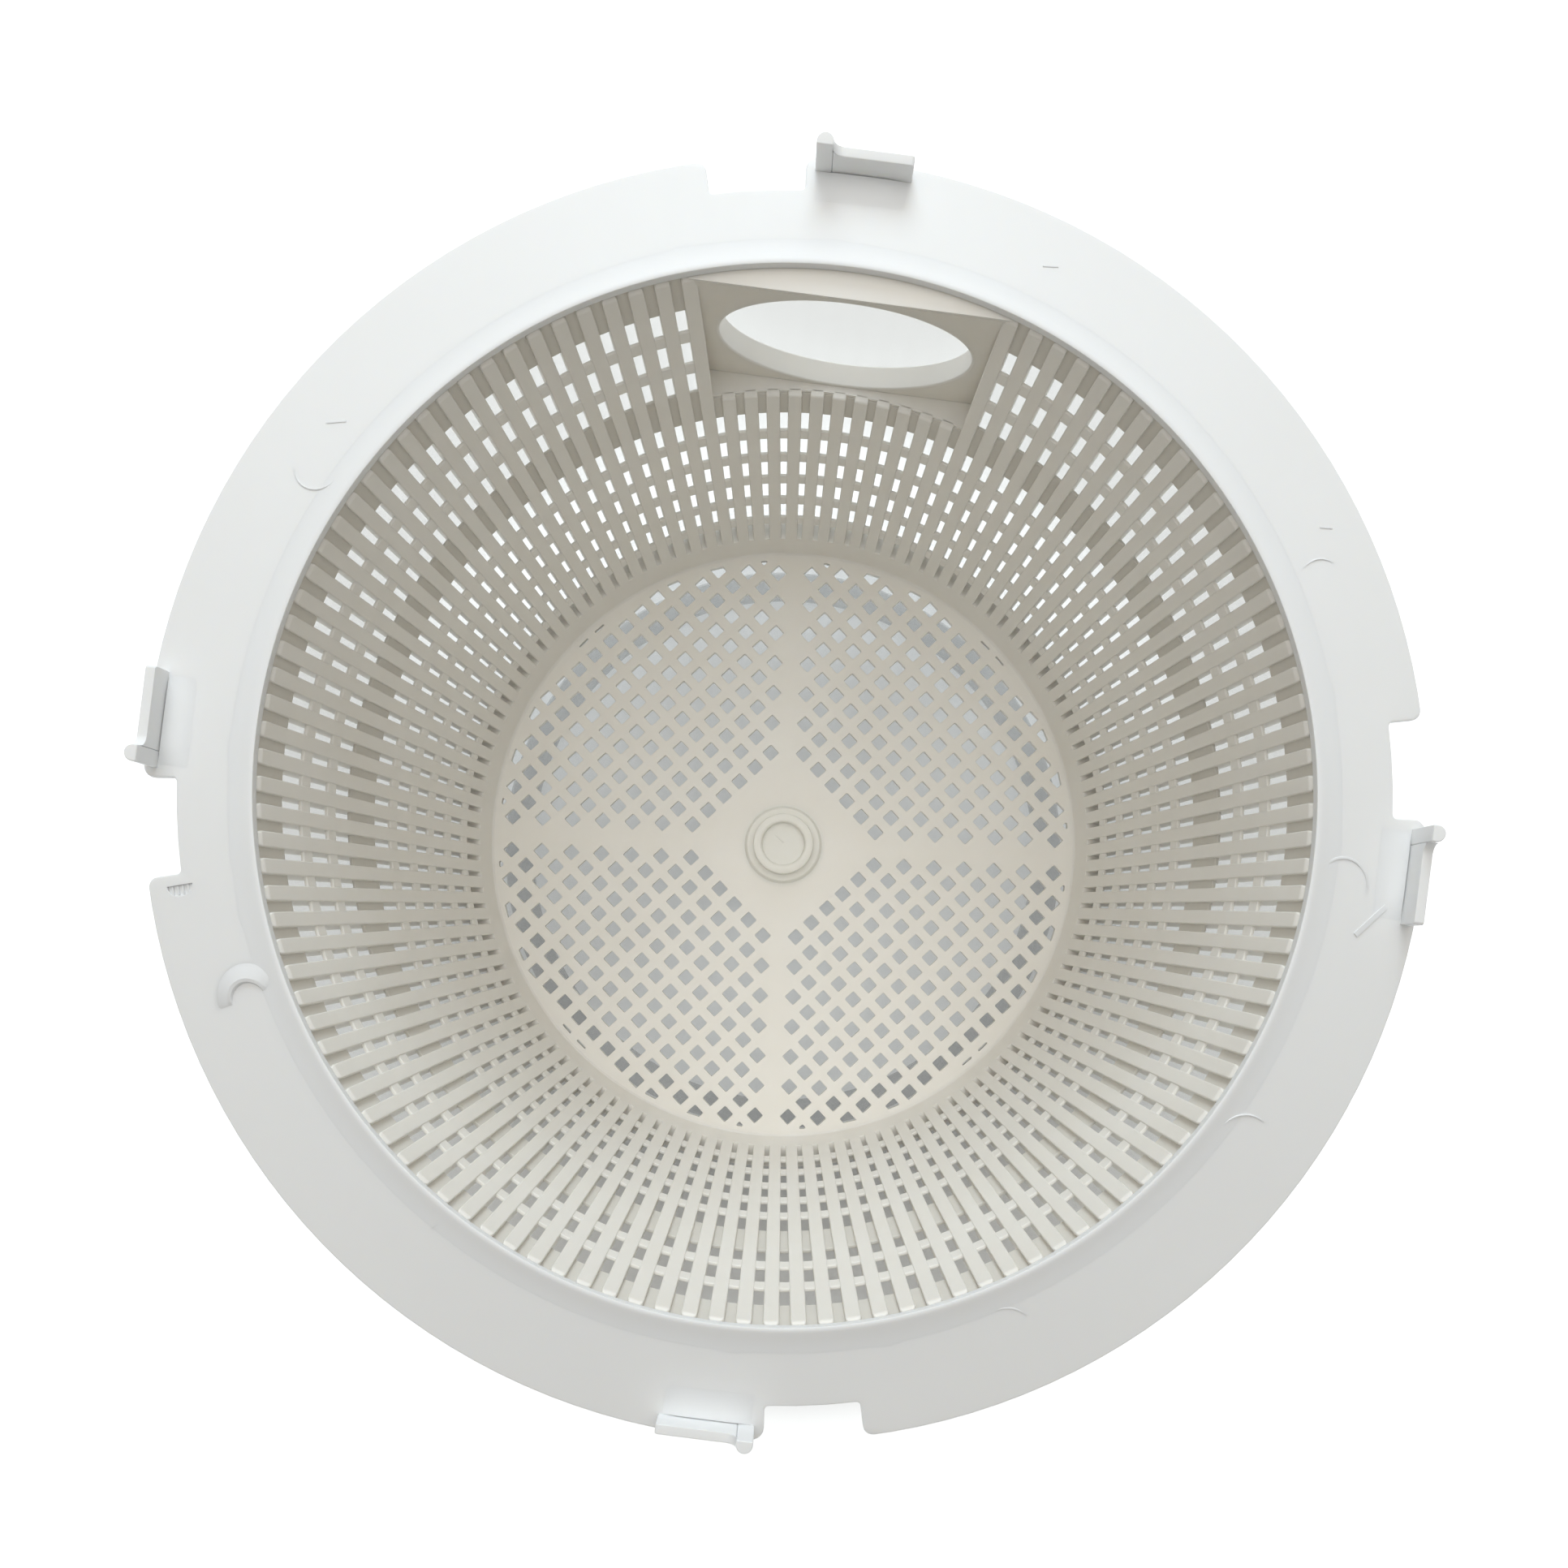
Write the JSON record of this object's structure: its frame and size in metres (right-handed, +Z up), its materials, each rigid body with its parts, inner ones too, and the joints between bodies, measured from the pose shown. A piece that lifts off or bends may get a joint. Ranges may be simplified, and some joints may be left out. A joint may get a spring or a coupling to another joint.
{
  "type": "salad spinner",
  "caption": "Salad spinner with its lid off: a round slatted basket with a bayonet collar and an oval port, spinning on a pivot in a clear outer bowl.",
  "frame": {"origin": "centre of the foot ring's underside, on the surface that the bowl stands on", "axes": "+Z up along the spin axis; +Y towards the oval port, which is centred 5 degrees from it towards +X"},
  "size_m": [0.276, 0.276, 0.1691],
  "materials": {
    "clear_plastic": "clear, polished",
    "foot_rubber": "matte, grey",
    "seal_rubber": "matte, black",
    "steel": "turned",
    "brass": "satin",
    "hub_plastic": "satin, warm white",
    "basket_plastic": "satin, moulded white",
    "collar_plastic": "satin, moulded white"
  },
  "bodies": {
    "bowl": {"bowl_wall": "clear_plastic", "bowl_base": "clear_plastic", "foot_ring": "foot_rubber", "pivot_pin": "steel", "pivot_seal": "seal_rubber", "pivot_nut": "steel", "thrust_washer": "brass"},
    "spindle": {"hub_sleeve": "hub_plastic"},
    "basket": {"hub_boss": "basket_plastic", "hub_cap": "hub_plastic", "basket_floor": "basket_plastic", "base_band": "basket_plastic", "lower_hoops": "basket_plastic", "mid_band": "basket_plastic", "upper_hoops": "basket_plastic", "rim_band": "basket_plastic", "wall_slats": "basket_plastic", "port_panel": "basket_plastic", "port_sleeve": "basket_plastic", "port_hood": "basket_plastic", "port_shelf": "basket_plastic", "port_cheeks": "basket_plastic", "bayonet_collar": "collar_plastic", "collar_bead": "collar_plastic", "bayonet_rails": "collar_plastic", "rail_stops": "collar_plastic"}
  },
  "joints": [
    {"name": "basket_spin", "type": "hinge", "parent": "bowl", "child": "spindle", "pos_m": [0, 0, 0.0145], "axis": [0, 0, 1], "continuous": true},
    {"name": "basket_lift", "type": "slide", "parent": "spindle", "child": "basket", "axis": [0, 0, 1], "range_m": [0, 0.15]}
  ]
}
